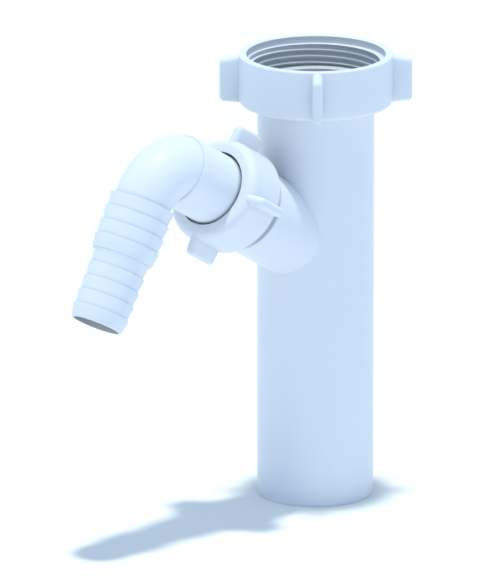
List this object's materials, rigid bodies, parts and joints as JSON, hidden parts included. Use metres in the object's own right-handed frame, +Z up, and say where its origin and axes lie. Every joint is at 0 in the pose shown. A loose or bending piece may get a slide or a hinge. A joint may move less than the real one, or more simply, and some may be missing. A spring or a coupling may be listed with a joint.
{
  "type": "washing machine waste branch",
  "caption": "Plastic waste tube for a sink, with a winged coupling nut on its inlet and an angled spout carrying a swivelling barbed hose elbow under a second winged nut.",
  "frame": {"origin": "centre of the tail's lower end", "axes": "+Z up the waste tube towards the inlet nut; the spout leans towards -X"},
  "size_m": [0.1475, 0.0554, 0.1638],
  "materials": {
    "white_plastic": "satin, moulded",
    "white_seal": "soft, matt",
    "dark_rubber": "matt"
  },
  "bodies": {
    "tube": {"waste_body": "white_plastic", "inlet_washer": "white_seal", "branch_washer": "dark_rubber"},
    "inlet_nut": {"inlet_nut": "white_plastic"},
    "branch_nut": {"branch_nut": "white_plastic"},
    "nozzle": {"hose_nozzle": "white_plastic"}
  },
  "joints": [
    {"name": "inlet_nut_spin", "type": "hinge", "parent": "tube", "child": "inlet_nut", "pos_m": [0, 0, 0.155], "axis": [0, 0, 1], "continuous": true},
    {"name": "branch_nut_turn", "type": "hinge", "parent": "tube", "child": "branch_nut", "pos_m": [0, 0, 0.092], "axis": [-0.8572, 0, 0.515], "range_deg": [0, 90]},
    {"name": "nozzle_swivel", "type": "hinge", "parent": "tube", "child": "nozzle", "pos_m": [0, 0, 0.092], "axis": [-0.8572, 0, 0.515], "continuous": true}
  ]
}
